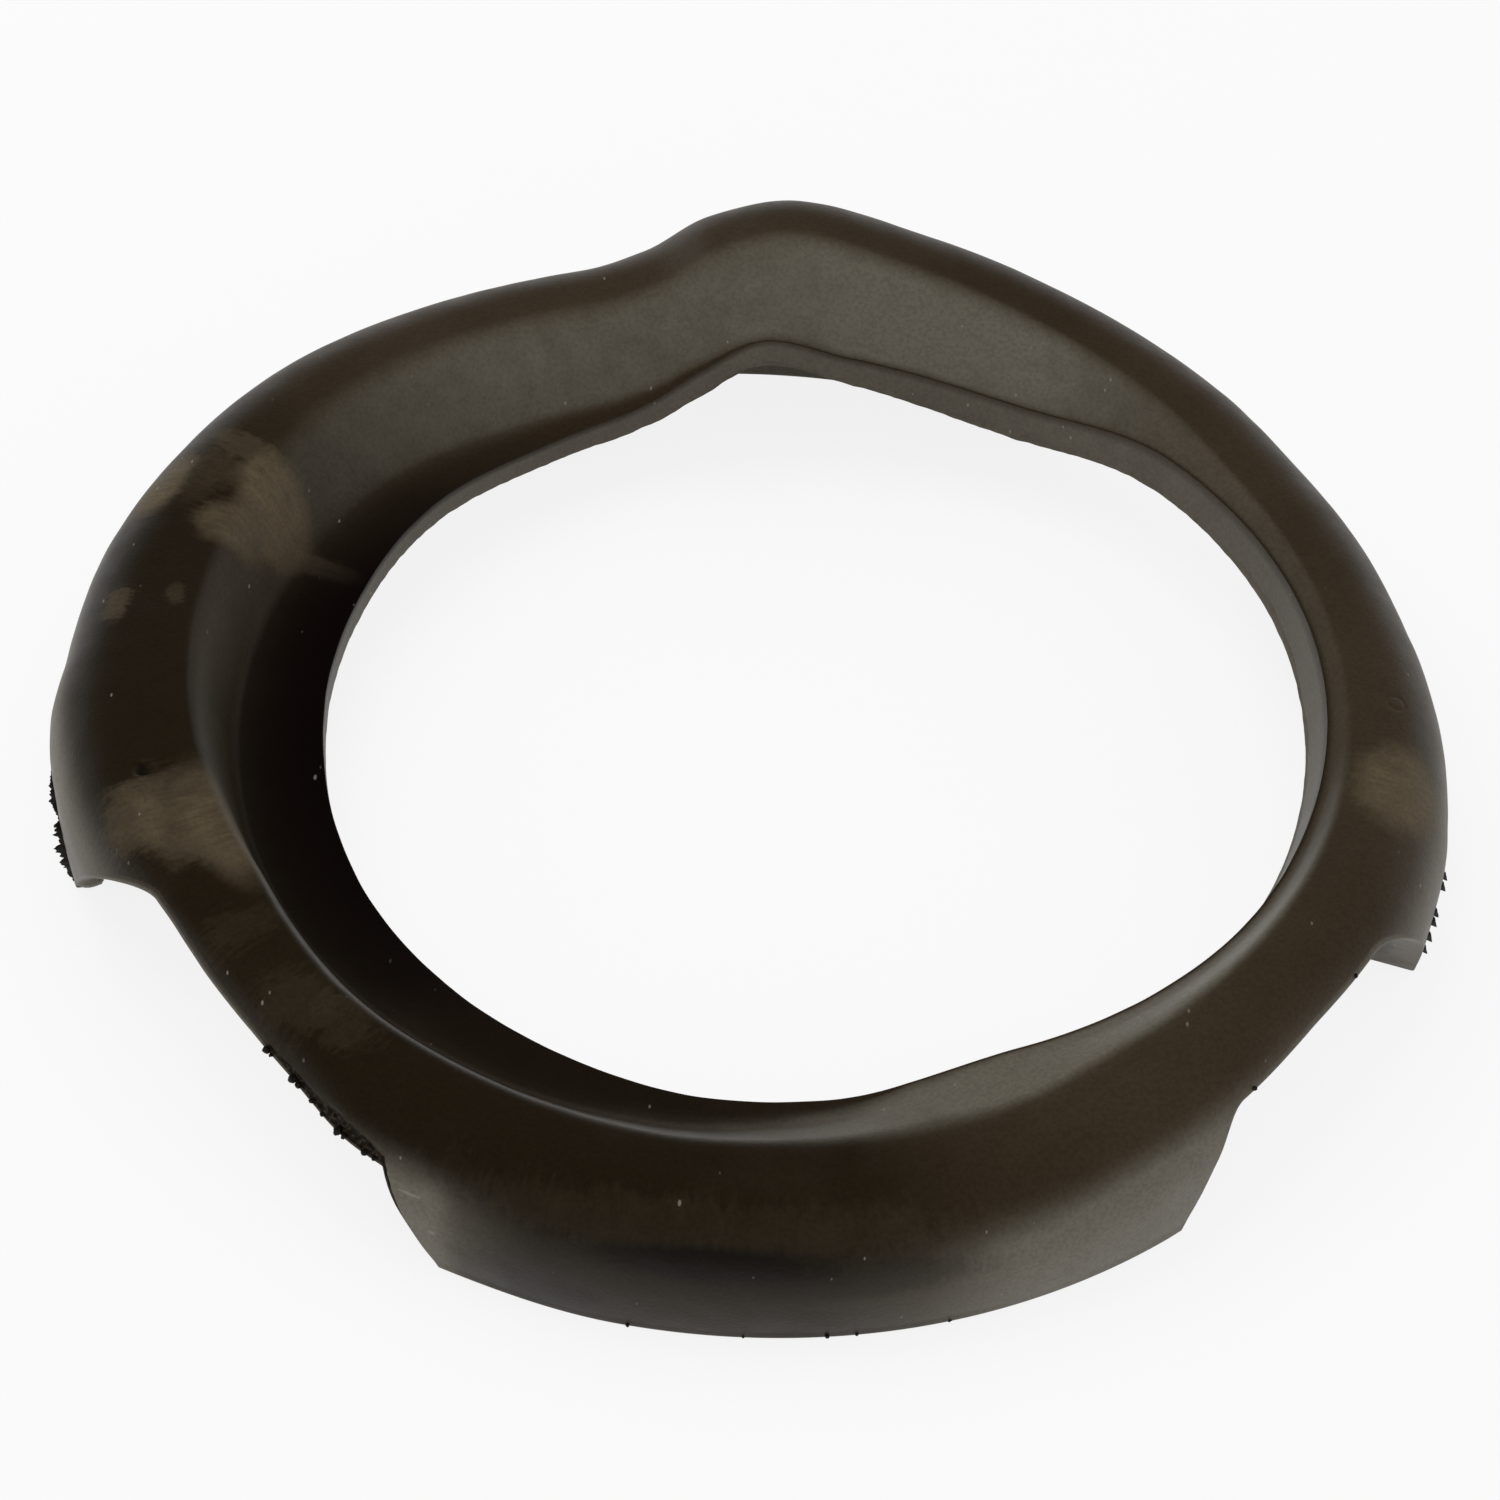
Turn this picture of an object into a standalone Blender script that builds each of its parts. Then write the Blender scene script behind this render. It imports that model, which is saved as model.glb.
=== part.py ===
"""Rubber coil spring insulator: one moulded ring that sits between a coil spring and its seat.

The ring is a thin skin, hollow underneath. From the hole outwards its section runs over a flat
seat for the coil's end, up a slope that guides the coil, over a broad crown and a round shoulder,
and down an outer skirt. The skirt reaches the floor in four lobes with arches between them.
The seat climbs as the coil does, and drops in one step where the coil's end butts against it.

Metres, +Z up. The origin is on the floor, on the axis of the outer skirt.
Angles are in degrees, seen from above, anticlockwise from +X. The step in the seat is near +Y.
"""

from bisect import bisect_right
from math import ceil, cos, hypot, pi, radians, sin, sqrt, tan

import bmesh
import bpy
from mathutils import Vector

MM = 0.001

# Sizes across the ring, from the hole outwards
HOLE_RADIUS = 60.9 * MM
HOLE_SHIFT = Vector((8.8 * MM, 1.5 * MM))    # centre of the hole from the axis of the skirt
SEAT_MARGIN = 1.1 * MM                       # the slope's foot circle is this much wider than the hole
RIM_LAND = 0.4 * MM                          # least flat width between the hole and the slope
SLOPE_WIDTH = 10.5 * MM
SLOPE_ROUNDING = (0.22, 0.4)                 # shares of the slope that round its foot and head
CROWN_WIDTH = 2.9 * MM
SHOULDER_WIDTH = 10.0 * MM
SHOULDER_DROP = 10.0 * MM
SKIRT_DRAFT = 1.0 * MM                       # the skirt leans in by this much at the floor
SKIN = 3.2 * MM

FOOT_RADIUS = HOLE_RADIUS + SEAT_MARGIN
CROWN_RADIUS = FOOT_RADIUS + SLOPE_WIDTH
SHOULDER_RADIUS = CROWN_RADIUS + CROWN_WIDTH
OUTER_RADIUS = SHOULDER_RADIUS + SHOULDER_WIDTH

# Stations around the ring, each an angle and millimetres.
# Height of the crown above the floor:
CROWN_HEIGHT = (
    (0, 20.0), (30, 21.0), (45, 23.7), (60, 26.2), (75, 29.3), (88, 32.3), (96, 29.4), (102, 24.2),
    (108, 22.1), (118, 22.3), (140, 23.4), (165, 22.9), (185, 23.4), (210, 22.5), (225, 21.0),
    (240, 19.0), (255, 17.5), (270, 16.8), (285, 16.9), (295, 17.6), (308, 20.2), (330, 21.2),
)
# Height of the seat at the edge of the hole:
RIM_HEIGHT = (
    (0, 18.6), (20, 19.2), (40, 19.4), (60, 16.3), (80, 18.9), (90, 21.8), (98, 17.8), (104, 14.3),
    (109, 12.9), (120, 12.4), (140, 13.8), (160, 12.6), (180, 11.3), (200, 9.2), (220, 8.7), (240, 9.0),
    (260, 9.2), (280, 11.5), (300, 16.6), (330, 16.4),
)
# How much taller than the skin is thick the face around the hole is:
RIM_EXTRA_DEPTH = (
    (10, 3.4), (40, 2.7), (52, 2.2), (62, 2.1), (72, 1.6), (84, 0.9), (92, 0.9), (98, 1.2), (106, 0.6),
    (115, 0.2), (150, 0.0), (260, 0.0), (300, 1.5), (330, 3.4),
)
# Degrees that this face leans in, going down:
RIM_LEAN = ((0, 15.0), (20, 9.0), (40, 5.0), (140, 5.0), (180, 4.0), (270, 7.0), (325, 14.0))
# How far the shoulder and the skirt are drawn in, mostly where the arches are:
WAIST = (
    (0, 0.2), (9, 0.5), (13, 0.7), (21, 0.4), (35, 0.0), (50, -0.2), (65, -0.2), (80, 0.0), (120, 0.0),
    (140, -0.2), (153, 0.2), (165, 0.5), (173, 1.1), (179, 1.4), (186, 0.5), (195, 1.2), (203, 2.4),
    (209, 3.5), (216, 5.0), (223, 4.9), (232, 3.9), (240, 1.7), (250, 1.2), (262, 0.2), (285, -0.4),
    (305, 0.1), (314, 0.8), (322, 1.4), (332, 0.6), (340, 0.0),
)

# Arches in the skirt. Each end stands on the floor at one angle and reaches the top at the other.
# The top edge lies this far below the crown at its two ends, in millimetres. A bulge of 1 makes
# an end straight, more makes it steeper at the floor, and less makes it steeper at the top.
ARCHES = (
    dict(floor=(195.0, 247.4), top=(212.0, 242.6), below_crown=(2.0, 5.4), bulge=(1.6, 1.0)),
    dict(floor=(307.3, 342.0), top=(313.2, 331.5), below_crown=(4.6, 3.6), bulge=(2.3, 2.2)),
    dict(floor=(28.0, 62.0), top=(33.0, 57.0), below_crown=(11.0, 11.0), bulge=(1.5, 1.5)),
    dict(floor=(118.0, 148.0), top=(123.0, 143.0), below_crown=(11.0, 11.0), bulge=(1.5, 1.5)),
)

# Fineness of the mesh
RING_STEP = 4.5               # degrees between sections
ARCH_END_STEPS = 5
SEAT_STEPS = 2
SLOPE_STEPS = 6
OUTSIDE_STEPS = 10            # from the shoulder's start to the skirt's edge
FINE_STEPS = 60               # points of the smooth curve that the outside is read from
SHARP_ANGLE = 38.0            # edges that turn by more than this stay crisp

RUBBER_COLOUR = (0.022, 0.019, 0.016, 1.0)
RUBBER_ROUGHNESS = 0.55


def around(stations, angle):
    """Value at an angle, on a smooth closed curve through the stations that never overshoots."""
    count = len(stations)
    angles = [station[0] for station in stations]
    index = bisect_right(angles, angle % 360) - 1

    def station(offset):
        turns, place = divmod(index + offset, count)
        return stations[place][0] + 360 * turns, stations[place][1]

    (a0, v0), (a1, v1), (a2, v2), (a3, v3) = (station(offset) for offset in (-1, 0, 1, 2))
    slopes = (v1 - v0) / (a1 - a0), (v2 - v1) / (a2 - a1), (v3 - v2) / (a3 - a2)

    def tangent(before, after):
        if before * after <= 0:
            return 0.0
        return 2 * before * after / (before + after)

    width = a2 - a1
    t = (angle % 360 - a1) / width
    start = tangent(slopes[0], slopes[1]) * width
    end = tangent(slopes[1], slopes[2]) * width
    return ((2 * t - 3) * t * t + 1) * v1 + ((t - 2) * t + 1) * t * start + (
        (3 - 2 * t) * t * t * v2 + (t - 1) * t * t * end)


def ease(t, foot, head):
    """A ramp from 0 to 1 with a straight middle. Its ends are rounded over those shares of it."""
    steep = 1 / (1 - (foot + head) / 2)
    if t < foot:
        return steep * t * t / (2 * foot)
    if t > 1 - head:
        return 1 - steep * (1 - t) ** 2 / (2 * head)
    return steep * (t - foot / 2)


def hole_edge(angle, radius):
    """Distance from the skirt's axis to a circle about the hole's centre."""
    along = HOLE_SHIFT.x * cos(radians(angle)) + HOLE_SHIFT.y * sin(radians(angle))
    return along + sqrt(radius ** 2 - HOLE_SHIFT.length_squared + along ** 2)


def skirt_edge(angle, crown):
    """Height of the skirt's lower edge: 0 on a lobe, and up to the arch's top between lobes."""
    angle %= 360
    for arch in ARCHES:
        first, last = arch["floor"]
        if not first < angle < last:
            continue
        left, right = arch["top"]
        along = min(max((angle - left) / (right - left), 0), 1)
        below = arch["below_crown"][0] * (1 - along) + arch["below_crown"][1] * along
        rise, bulge = min(((angle - first) / (left - first), arch["bulge"][0]),
                          ((last - angle) / (last - right), arch["bulge"][1]), (1.0, 1.0))
        return (crown - below * MM) * (1 - (1 - rise) ** bulge)
    return 0.0


def outside_curve(crown, edge, inset):
    """Points from the shoulder's start to the skirt's edge, evenly spaced, as radius and height."""
    fine = []
    for step in range(FINE_STEPS + 1):
        turn = pi / 2 * step / FINE_STEPS
        fine.append((SHOULDER_RADIUS + (SHOULDER_WIDTH - inset) * sin(turn),
                     crown - SHOULDER_DROP * (1 - cos(turn))))
    wall_top = crown - SHOULDER_DROP
    for step in range(1, FINE_STEPS + 1):
        share = step / FINE_STEPS
        fine.append((OUTER_RADIUS - inset - SKIRT_DRAFT * share ** 2, wall_top * (1 - share)))

    kept = [fine[0]]
    for before, after in zip(fine, fine[1:]):
        if after[1] < edge:
            share = (before[1] - edge) / (before[1] - after[1])
            kept.append((before[0] + (after[0] - before[0]) * share, edge))
            break
        kept.append(after)

    lengths = [0.0]
    for before, after in zip(kept, kept[1:]):
        lengths.append(lengths[-1] + hypot(after[0] - before[0], after[1] - before[1]))
    points = []
    place = 0
    for step in range(OUTSIDE_STEPS + 1):
        wanted = lengths[-1] * step / OUTSIDE_STEPS
        while place < len(kept) - 2 and lengths[place + 1] < wanted:
            place += 1
        share = (wanted - lengths[place]) / (lengths[place + 1] - lengths[place])
        before, after = kept[place], kept[place + 1]
        points.append((before[0] + (after[0] - before[0]) * share,
                       before[1] + (after[1] - before[1]) * share))
    return points


def section(angle):
    """The closed outline of the ring's section at an angle, as radius and height."""
    crown = around(CROWN_HEIGHT, angle) * MM
    rim = around(RIM_HEIGHT, angle) * MM
    edge = skirt_edge(angle, crown)
    hole = hole_edge(angle, HOLE_RADIUS)
    foot = max(FOOT_RADIUS, hole + RIM_LAND)

    top = []
    for step in range(SEAT_STEPS):
        top.append((hole + (foot - hole) * step / SEAT_STEPS, rim))
    for step in range(SLOPE_STEPS):
        share = step / SLOPE_STEPS
        top.append((foot + (CROWN_RADIUS - foot) * share, rim + (crown - rim) * ease(share, *SLOPE_ROUNDING)))
    top.append((CROWN_RADIUS, crown))
    top.extend(outside_curve(crown, edge, around(WAIST, angle) * MM))

    under = []
    for index in range(1, len(top)):
        before = top[index - 1]
        after = top[min(index + 1, len(top) - 1)]
        along = Vector((after[0] - before[0], after[1] - before[1])).normalized()
        under.append((top[index][0] + along.y * SKIN, top[index][1] - along.x * SKIN))
    if edge == 0:
        under[-1] = (top[-1][0] - SKIN, 0.0)

    depth = SKIN + around(RIM_EXTRA_DEPTH, angle) * MM
    rim_bottom = hole_edge(angle, HOLE_RADIUS - depth * tan(radians(around(RIM_LEAN, angle))))
    return top + under[::-1] + [(rim_bottom, rim - depth)]


def ring_angles():
    """Angles of the sections: evenly spaced, and closer together along each arch's slanted ends."""
    stops = {0.0, 360.0}
    for arch in ARCHES:
        (first, last), (left, right) = arch["floor"], arch["top"]
        for step in range(ARCH_END_STEPS + 1):
            share = step / ARCH_END_STEPS
            stops.add(first + (left - first) * share)
            stops.add(right + (last - right) * share)
    stops = sorted(stops)
    angles = []
    for start, end in zip(stops, stops[1:]):
        parts = ceil((end - start) / RING_STEP)
        angles.extend(start + (end - start) * part / parts for part in range(parts))
    return angles


def make_ring(name, material):
    """Loft the sections into one closed skin."""
    mesh = bpy.data.meshes.new(name)
    ring = bmesh.new()
    loops = []
    for angle in ring_angles():
        turn = radians(angle)
        loops.append([ring.verts.new((radius * cos(turn), radius * sin(turn), height))
                      for radius, height in section(angle)])
    for index, loop in enumerate(loops):
        following = loops[(index + 1) % len(loops)]
        for place in range(len(loop)):
            beside = (place + 1) % len(loop)
            ring.faces.new((loop[place], following[place], following[beside], loop[beside]))
    bmesh.ops.recalc_face_normals(ring, faces=ring.faces)
    ring.to_mesh(mesh)
    ring.free()
    mesh.shade_smooth()
    mesh.set_sharp_from_angle(angle=radians(SHARP_ANGLE))
    mesh.materials.append(material)
    obj = bpy.data.objects.new(name, mesh)
    bpy.context.collection.objects.link(obj)
    return obj


def make_rubber():
    """Dark brown-black moulded rubber, matte to satin."""
    material = bpy.data.materials.new("dark_rubber")
    material.use_nodes = True
    shader = material.node_tree.nodes["Principled BSDF"]
    shader.inputs["Base Color"].default_value = RUBBER_COLOUR
    shader.inputs["Roughness"].default_value = RUBBER_ROUGHNESS
    return material


def main():
    for obj in list(bpy.data.objects):
        bpy.data.objects.remove(obj, do_unlink=True)
    make_ring("coil_spring_insulator", make_rubber())


main()
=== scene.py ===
# %% [markdown]
# # Coil spring insulator
# A rubber ring that sits between the end of a car's coil spring and the metal seat that the spring
# pushes on. It keeps the steel from grinding on steel. This lesson dresses the plain part that the
# library holds: the same ring with finer curves, torn mould flash, and worn, dusty rubber.

# %% Load the plain part
import math
from bisect import bisect_right

import bmesh
import bpy
import numpy as np
from mathutils import Matrix, Vector, noise


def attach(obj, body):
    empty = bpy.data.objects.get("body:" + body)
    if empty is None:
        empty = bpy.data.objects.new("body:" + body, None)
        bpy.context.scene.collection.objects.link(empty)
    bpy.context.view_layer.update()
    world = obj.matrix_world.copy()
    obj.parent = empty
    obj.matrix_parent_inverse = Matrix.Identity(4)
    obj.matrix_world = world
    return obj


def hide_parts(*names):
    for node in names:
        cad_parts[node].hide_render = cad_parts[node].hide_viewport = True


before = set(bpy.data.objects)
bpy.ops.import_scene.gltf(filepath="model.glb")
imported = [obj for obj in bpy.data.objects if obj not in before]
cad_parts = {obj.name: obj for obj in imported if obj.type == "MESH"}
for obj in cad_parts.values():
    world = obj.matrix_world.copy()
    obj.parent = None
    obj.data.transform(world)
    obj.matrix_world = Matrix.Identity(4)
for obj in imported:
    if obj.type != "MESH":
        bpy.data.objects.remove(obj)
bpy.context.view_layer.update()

MM = 0.001

# %% [markdown]
# ## The camera
# A long lens keeps near and far parts of the ring almost the same size, as a product photograph
# does. The camera looks down at about 45 degrees. A small turn about its own axis makes the right
# side hang lower, and a small shift moves the ring up or down in the picture without turning it.

# %% Set up the camera
IMAGE_SIDE = 1500
LENS_PIXELS = 4000
SENSOR_WIDTH = 36.0
CAMERA_ELEVATION = math.radians(45.19)
CAMERA_ROLL = math.radians(2.48)
CAMERA_DISTANCE = 498 * MM
ORIGIN_RIGHT = -2.7          # where the part's origin falls, in pixels from the picture's middle
ORIGIN_DOWN = 40.6


def make_camera():
    data = bpy.data.cameras.new("product_camera")
    data.sensor_width = SENSOR_WIDTH
    data.lens = LENS_PIXELS * SENSOR_WIDTH / IMAGE_SIDE
    data.shift_x = -ORIGIN_RIGHT / IMAGE_SIDE
    data.shift_y = ORIGIN_DOWN / IMAGE_SIDE
    camera = bpy.data.objects.new("product_camera", data)
    bpy.context.scene.collection.objects.link(camera)
    back = Vector((0, -math.cos(CAMERA_ELEVATION), math.sin(CAMERA_ELEVATION)))
    facing = (-back).to_track_quat("-Z", "Y").to_matrix().to_4x4()
    camera.matrix_world = (
        Matrix.Translation(back * CAMERA_DISTANCE) @ facing @ Matrix.Rotation(CAMERA_ROLL, 4, "Z"))
    return camera


bpy.context.scene.camera = make_camera()
print("lens", round(bpy.context.scene.camera.data.lens, 1), "mm")

# %% [markdown]
# ## Measures of the ring
# The ring has one section that changes as it goes round. From the hole outwards it runs over a flat
# seat, up a slope, over the crown and a round shoulder, and down a skirt. Heights are given at a
# few angles only, and a smooth curve through them gives the rest, as a mould maker would draw it.
# The edge where the slope meets the crown is the crest. On the left and at the front it is crisper
# and lies further in.

# %% Write down the measures
HOLE_RADIUS = 60.9 * MM
HOLE_SHIFT = Vector((8.8 * MM, 1.5 * MM))
SEAT_MARGIN = 1.1 * MM
RIM_LAND = 0.4 * MM
SLOPE_WIDTH = 10.5 * MM
SLOPE_ROUNDING = 0.22         # share of the slope's width that is rounded at its foot
SOFT_CREST = 0.4              # share that is rounded at its crest, on the underside
CREST_ROUNDING = (  # the same share on the outer skin, by angle in degrees
    (0, 0.4), (140, 0.4), (175, 0.6), (200, 0.5), (215, 0.34), (235, 0.26), (270, 0.25),
    (300, 0.34), (330, 0.4),
)
CREST_INSET = (  # millimetres that the crest lies further in than the crown
    (0, 0.0), (140, 0.0), (158, 2.0), (175, 3.8), (195, 4.6), (212, 4.8), (221, 3.6), (231, 2.1),
    (245, 1.6), (270, 0.9), (300, 0.4), (330, 0.0),
)
CROWN_WIDTH = 2.9 * MM
SHOULDER_WIDTH = 10.0 * MM
SHOULDER_DROP = 10.0 * MM
SKIRT_DRAFT = 1.0 * MM
SKIN = 3.2 * MM
FOOT_RADIUS = HOLE_RADIUS + SEAT_MARGIN
CROWN_RADIUS = FOOT_RADIUS + SLOPE_WIDTH
SHOULDER_RADIUS = CROWN_RADIUS + CROWN_WIDTH
OUTER_RADIUS = SHOULDER_RADIUS + SHOULDER_WIDTH

CROWN_HEIGHT = (
    (0, 20.0), (30, 21.0), (45, 23.7), (60, 26.2), (75, 29.3), (88, 32.3), (96, 29.4), (102, 24.2),
    (108, 22.1), (118, 22.3), (140, 23.4), (165, 22.9), (185, 23.4), (210, 22.5), (225, 21.0),
    (240, 19.0), (255, 17.5), (270, 16.8), (285, 16.9), (295, 17.6), (308, 20.2), (330, 21.2),
)
RIM_HEIGHT = (
    (0, 18.6), (20, 19.2), (40, 19.4), (60, 16.3), (80, 18.9), (90, 21.8), (98, 17.8), (104, 14.3),
    (109, 12.9), (120, 12.4), (140, 13.8), (160, 12.6), (180, 11.3), (200, 9.2), (220, 8.7),
    (240, 9.0), (260, 9.2), (280, 11.5), (300, 16.6), (330, 16.4),
)
RIM_EXTRA_DEPTH = (
    (10, 3.4), (40, 2.7), (52, 2.2), (62, 2.1), (72, 1.6), (84, 0.9), (92, 0.9), (98, 1.2),
    (106, 0.6), (115, 0.2), (150, 0.0), (260, 0.0), (300, 1.5), (330, 3.4),
)
RIM_LEAN = ((0, 15.0), (20, 9.0), (40, 5.0), (140, 5.0), (180, 4.0), (270, 7.0), (325, 14.0))
WAIST = (
    (0, 0.2), (9, 0.5), (13, 0.7), (21, 0.4), (35, 0.0), (50, -0.2), (65, -0.2), (80, 0.0),
    (120, 0.0), (140, -0.2), (153, 0.2), (165, 0.5), (173, 1.1), (179, 1.4), (186, 0.6), (195, 1.2),
    (203, 2.4), (209, 3.5), (216, 5.0), (223, 4.9), (232, 3.9), (240, 1.7), (250, 1.2), (262, 0.2),
    (285, -0.4), (305, 0.1), (314, 0.8), (322, 1.4), (331, 0.5), (338, -0.4), (346, -0.4),
    (353, 0.0),
)
ARCHES = (
    dict(floor=(195.0, 247.4), top=(212.0, 242.6), below_crown=(2.0, 5.4), bulge=(1.6, 1.0)),
    dict(floor=(307.3, 342.4), top=(313.2, 331.5), below_crown=(4.6, 3.6), bulge=(2.3, 2.2)),
    dict(floor=(28.0, 62.0), top=(33.0, 57.0), below_crown=(11.0, 11.0), bulge=(1.5, 1.5)),
    dict(floor=(118.0, 148.0), top=(123.0, 143.0), below_crown=(11.0, 11.0), bulge=(1.5, 1.5)),
)

# %% [markdown]
# The curve between two heights uses slopes that never make it swing past them. `ease` is a ramp
# with rounded ends. `hole_edge` gives how far the off-centre hole's edge is from the skirt's axis,
# and `skirt_edge` how high the skirt ends, which is 0 at a lobe.


# %% Curves that the section needs
def around(stations, angle):
    """Value at an angle in degrees, on a smooth closed curve through the stations."""
    count = len(stations)
    index = bisect_right([station[0] for station in stations], angle % 360) - 1

    def station(offset):
        turns, place = divmod(index + offset, count)
        return stations[place][0] + 360 * turns, stations[place][1]

    (a0, v0), (a1, v1), (a2, v2), (a3, v3) = (station(offset) for offset in (-1, 0, 1, 2))
    slopes = (v1 - v0) / (a1 - a0), (v2 - v1) / (a2 - a1), (v3 - v2) / (a3 - a2)

    def tangent(before, after):
        return 0.0 if before * after <= 0 else 2 * before * after / (before + after)

    width = a2 - a1
    t = (angle % 360 - a1) / width
    start = tangent(slopes[0], slopes[1]) * width
    end = tangent(slopes[1], slopes[2]) * width
    return ((2 * t - 3) * t * t + 1) * v1 + ((t - 2) * t + 1) * t * start + (
        (3 - 2 * t) * t * t * v2 + (t - 1) * t * t * end)


def ease(t, foot, head):
    """A ramp from 0 to 1 whose first and last shares are rounded."""
    steep = 1 / (1 - (foot + head) / 2)
    if t < foot:
        return steep * t * t / (2 * foot)
    if t > 1 - head:
        return 1 - steep * (1 - t) ** 2 / (2 * head)
    return steep * (t - foot / 2)


def smooth(value, low, high):
    """0 below low, 1 above high, and a soft step between. Low may be the larger."""
    t = min(max((value - low) / (high - low), 0.0), 1.0)
    return t * t * (3 - 2 * t)


def hole_edge(angle, radius):
    """Distance from the skirt's axis to a circle round the hole's own centre."""
    turn = math.radians(angle)
    along = HOLE_SHIFT.x * math.cos(turn) + HOLE_SHIFT.y * math.sin(turn)
    return along + math.sqrt(radius ** 2 - HOLE_SHIFT.length_squared + along ** 2)


def skirt_edge(angle, crown):
    """Height of the skirt's lower edge."""
    angle %= 360
    for arch in ARCHES:
        first, last = arch["floor"]
        if not first < angle < last:
            continue
        left, right = arch["top"]
        along = min(max((angle - left) / (right - left), 0), 1)
        below = arch["below_crown"][0] * (1 - along) + arch["below_crown"][1] * along
        rise, bulge = min(((angle - first) / (left - first), arch["bulge"][0]),
                          ((last - angle) / (last - right), arch["bulge"][1]), (1.0, 1.0))
        return (crown - below * MM) * (1 - (1 - rise) ** bulge)
    return 0.0


print("crown at the back", round(around(CROWN_HEIGHT, 88), 1), "mm, at the front",
      round(around(CROWN_HEIGHT, 270), 1), "mm")

# %% [markdown]
# ## The section
# The outer skin is followed from the hole to the skirt's edge. The underside is the same line, one
# skin thickness further in. Moulded rubber has no knife edges, so each corner gets a small
# rounding: a few points on a curve that is pulled towards the corner.

# %% Build one section
SEAT_STEPS = 4
SLOPE_STEPS = 20
OUTSIDE_STEPS = 38
UNDER_SLOPE_STEPS = 8
UNDER_OUTSIDE_STEPS = 14
CORNER_STEPS = 4
RIM_FACE_STEPS = 4
FINE_STEPS = 60
RIM_ROUND = 0.35 * MM
CORNER_ROUND = 0.5 * MM      # at the skirt's inner corner
RIM_FOOT_ROUND = 0.3 * MM    # at the rim's lower corner
# Extra skin inside the right lobe's end, which runs out at this height
LOBE_HEEL = ((0, 0.0), (332, 0.0), (337, 2.0), (343, 2.5), (350, 1.8), (357, 0.0))
HEEL_TOP = 14.0 * MM
EDGE_ROUND = ((0, 0.5), (195, 0.5), (207, 0.8), (228, 0.8), (236, 0.4), (300, 0.4), (345, 0.5))
RIM_JAG = 0.16 * MM          # the trimmed lower edge of the hole's rim wanders by this much
JAG_TURNS = 40               # how fast it wanders


def spread(path, count, shorten):
    """Evenly spaced points on a path of radius and height, which ends that much early."""
    path = np.array(path)
    lengths = np.concatenate([[0], np.cumsum(np.hypot(*np.diff(path, axis=0).T))])
    wanted = np.linspace(0, lengths[-1] - shorten, count + 1)
    return np.stack([np.interp(wanted, lengths, column) for column in path.T], 1)


def skin_line(angle, seat_steps, slope_steps, outside_steps, start, shorten, crisp=True):
    """The outer skin at an angle, and the sharp corner where it ends.

    It starts and ends a little early, to leave room for rounding. Its crest is crisp or plain.
    """
    crown = around(CROWN_HEIGHT, angle) * MM
    rim = around(RIM_HEIGHT, angle) * MM
    edge = skirt_edge(angle, crown)
    hole = hole_edge(angle, HOLE_RADIUS)
    foot = max(FOOT_RADIUS, hole + RIM_LAND)
    inset = around(WAIST, angle) * MM
    crest = around(CREST_ROUNDING, angle) if crisp else SOFT_CREST
    crest_radius = CROWN_RADIUS - (around(CREST_INSET, angle) * MM if crisp else 0)
    seat = foot - hole - start
    line = [(hole + start + seat * step / seat_steps, rim) for step in range(seat_steps)]
    for step in range(slope_steps):
        share = step / slope_steps
        height = rim + (crown - rim) * ease(share, SLOPE_ROUNDING, crest)
        line.append((foot + (crest_radius - foot) * share, height))
    crown_middle = CROWN_RADIUS + CROWN_WIDTH / 2
    flat = crest_radius, (crest_radius + crown_middle) / 2, crown_middle
    line += [(radius, crown) for radius in flat]

    turns = np.linspace(0, math.pi / 2, FINE_STEPS)
    shares = np.linspace(0, 1, FINE_STEPS)[1:]
    wall_top = crown - SHOULDER_DROP
    radii = np.concatenate([SHOULDER_RADIUS + (SHOULDER_WIDTH - inset) * np.sin(turns),
                            OUTER_RADIUS - inset - SKIRT_DRAFT * shares ** 2])
    heights = np.concatenate([crown - SHOULDER_DROP * (1 - np.cos(turns)), wall_top * (1 - shares)])
    kept = heights > edge
    corner = (np.interp(-edge, -heights, radii), edge)
    outside = np.concatenate([np.stack([radii[kept], heights[kept]], 1), [corner]])
    line.extend(map(tuple, spread(outside, outside_steps, shorten)))
    return line, corner


def rounded(before, corner, after, radius):
    """A few points round a corner, between its neighbours."""
    before, corner, after = (np.array(point) for point in (before, corner, after))
    start = corner + (before - corner) * min(radius / np.linalg.norm(before - corner), 0.5)
    end = corner + (after - corner) * min(radius / np.linalg.norm(after - corner), 0.5)
    points = []
    for step in range(CORNER_STEPS + 1):
        t = step / CORNER_STEPS
        points.append(tuple(start * (1 - t) ** 2 + corner * 2 * t * (1 - t) + end * t * t))
    return points


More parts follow.
